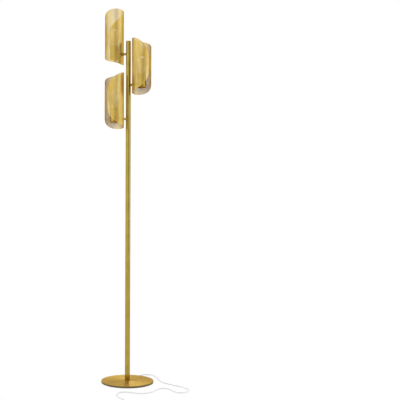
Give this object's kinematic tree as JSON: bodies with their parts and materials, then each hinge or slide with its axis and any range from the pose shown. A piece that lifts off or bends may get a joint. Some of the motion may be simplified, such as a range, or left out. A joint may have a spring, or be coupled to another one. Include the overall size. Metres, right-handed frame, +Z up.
{
  "type": "three-head floor lamp",
  "caption": "Slim round pole on a flat disc base, with upright rolled perforated-sheet shades on short side arms, each round a clear screw-in bulb.",
  "frame": {"origin": "centre of the disc base on the floor, under the pole", "axes": "+Z up along the pole; +X to the right and +Y away, as seen from the front"},
  "size_m": [0.3764, 0.6075, 1.6471],
  "materials": {
    "brass_sheet": "satin perforated brass-plated sheet",
    "brass_tube": "brushed brass-plated steel tube",
    "brass_base": "brushed brass-plated sheet",
    "brass_thread": "plain brass",
    "steel": "zinc-plated steel",
    "weight": "blacked steel plate",
    "pad": "black foam rubber",
    "holder": "white moulded holder",
    "lead": "pale clear-jacketed lead",
    "plug": "white moulded plug",
    "glass": "clear blown glass",
    "filament": "amber filament rods on a glass stem"
  },
  "bodies": {
    "lamp": {"base_cover": "brass_base", "base_nipple": "steel", "base_nut": "steel", "base_pad": "pad", "base_washer": "steel", "base_weight": "weight", "cord_coil": "lead", "cord_gland": "lead", "cord_lead": "lead", "lower_arm": "brass_tube", "lower_collar": "brass_tube", "lower_contact": "brass_thread", "lower_cup": "brass_tube", "lower_holder": "holder", "lower_lock_ring": "brass_tube", "lower_screw_shell": "brass_thread", "lower_shade": "brass_sheet", "lower_switch": "holder", "middle_arm": "brass_tube", "middle_collar": "brass_tube", "middle_contact": "brass_thread", "middle_cup": "brass_tube", "middle_holder": "holder", "middle_lock_ring": "brass_tube", "middle_screw_shell": "brass_thread", "middle_shade": "brass_sheet", "middle_switch": "holder", "plug_blade_1": "brass_thread", "plug_blade_2": "brass_thread", "plug_body": "plug", "pole_cap": "brass_tube", "pole_coupler_1": "steel", "pole_coupler_2": "steel", "pole_coupler_3": "steel", "pole_foot": "steel", "pole_section_1": "brass_tube", "pole_section_2": "brass_tube", "pole_section_3": "brass_tube", "pole_section_4": "brass_tube", "upper_arm": "brass_tube", "upper_collar": "brass_tube", "upper_contact": "brass_thread", "upper_cup": "brass_tube", "upper_holder": "holder", "upper_lock_ring": "brass_tube", "upper_screw_shell": "brass_thread", "upper_shade": "brass_sheet", "upper_switch": "holder"},
    "upper_knob": {"upper_knob": "brass_thread"},
    "upper_bulb": {"upper_bulb_cap": "brass_thread", "upper_bulb_glass": "glass", "upper_bulb_stem": "filament"},
    "middle_knob": {"middle_knob": "brass_thread"},
    "middle_bulb": {"middle_bulb_cap": "brass_thread", "middle_bulb_glass": "glass", "middle_bulb_stem": "filament"},
    "lower_knob": {"lower_knob": "brass_thread"},
    "lower_bulb": {"lower_bulb_cap": "brass_thread", "lower_bulb_glass": "glass", "lower_bulb_stem": "filament"}
  },
  "joints": [
    {"name": "upper_knob_turn", "type": "hinge", "parent": "lamp", "child": "upper_knob", "pos_m": [-0.06297, 0.03491, 1.4317], "axis": [0, 0, 1], "continuous": true},
    {"name": "upper_bulb_lift", "type": "slide", "parent": "lamp", "child": "upper_bulb", "axis": [0, 0, 1], "range_m": [0, 0.03]},
    {"name": "middle_knob_turn", "type": "hinge", "parent": "lamp", "child": "middle_knob", "pos_m": [0.0575, -0.04333, 1.2927], "axis": [0, 0, 1], "continuous": true},
    {"name": "middle_bulb_lift", "type": "slide", "parent": "lamp", "child": "middle_bulb", "axis": [0, 0, 1], "range_m": [0, 0.03]},
    {"name": "lower_knob_turn", "type": "hinge", "parent": "lamp", "child": "lower_knob", "pos_m": [-0.06106, -0.03815, 1.1427], "axis": [0, 0, 1], "continuous": true},
    {"name": "lower_bulb_lift", "type": "slide", "parent": "lamp", "child": "lower_bulb", "axis": [0, 0, 1], "range_m": [0, 0.03]}
  ]
}
